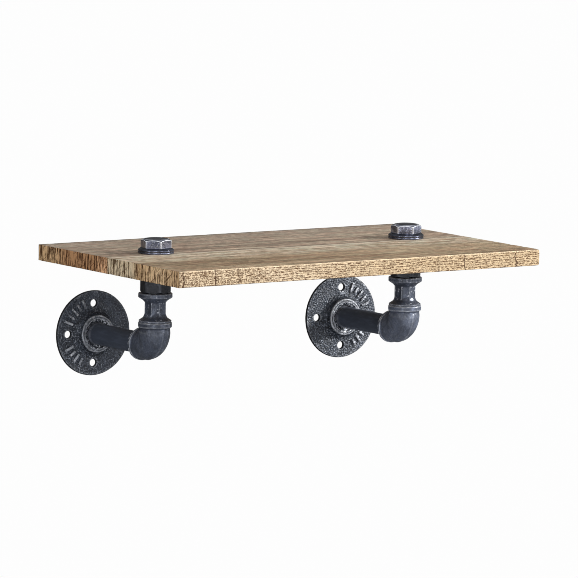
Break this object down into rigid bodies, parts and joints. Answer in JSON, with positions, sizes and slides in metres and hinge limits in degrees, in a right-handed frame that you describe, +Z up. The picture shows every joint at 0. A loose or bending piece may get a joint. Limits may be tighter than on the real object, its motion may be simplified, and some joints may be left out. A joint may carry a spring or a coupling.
{
  "type": "wall shelf",
  "caption": "Wooden wall shelf clamped on pipe brackets: wall flanges, pipe nipples, elbows, upright adapters and flanged plugs above the board.",
  "frame": {"origin": "in the wall plane, midway between the two brackets, at the height of the horizontal pipes", "axes": "+X along the shelf, +Y into the wall, +Z up; the board reaches out from the wall towards -Y"},
  "size_m": [0.4, 0.24, 0.14],
  "materials": {
    "rear_wood": "rough sawn, worn, unvarnished",
    "front_wood": "rough sawn, worn, unvarnished",
    "flange_iron": "sand cast, black coated",
    "fitting_iron": "fine cast, black coated",
    "pipe_steel": "smooth, matt black coated",
    "plug_steel": "dark zinc plated, satin"
  },
  "bodies": {
    "shelf": {"rear_plank": "rear_wood", "front_plank": "front_wood", "left_floor_flange": "flange_iron", "left_nipple": "pipe_steel", "left_elbow": "fitting_iron", "left_adapter": "fitting_iron", "left_bushing": "fitting_iron", "right_floor_flange": "flange_iron", "right_nipple": "pipe_steel", "right_elbow": "fitting_iron", "right_adapter": "fitting_iron", "right_bushing": "fitting_iron"},
    "left_washer": {"left_washer": "plug_steel"},
    "left_plug": {"left_plug": "plug_steel"},
    "right_washer": {"right_washer": "plug_steel"},
    "right_plug": {"right_plug": "plug_steel"}
  },
  "joints": [
    {"name": "left_plug_rise", "type": "slide", "parent": "shelf", "child": "left_washer", "axis": [0, 0, 1], "range_m": [0, 0.011]},
    {"name": "left_plug_turn", "type": "hinge", "parent": "left_washer", "child": "left_plug", "pos_m": [-0.14, -0.108, 0.0878], "axis": [0, 0, 1], "range_deg": [0, 1980]},
    {"name": "right_plug_rise", "type": "slide", "parent": "shelf", "child": "right_washer", "axis": [0, 0, 1], "range_m": [0, 0.011]},
    {"name": "right_plug_turn", "type": "hinge", "parent": "right_washer", "child": "right_plug", "pos_m": [0.14, -0.108, 0.0878], "axis": [0, 0, 1], "range_deg": [0, 1980]}
  ],
  "couplings": [
    {"joint": "left_plug_rise", "follows": "left_plug_turn", "m_per_rad": 0.0003183},
    {"joint": "right_plug_rise", "follows": "right_plug_turn", "m_per_rad": 0.0003183}
  ]
}
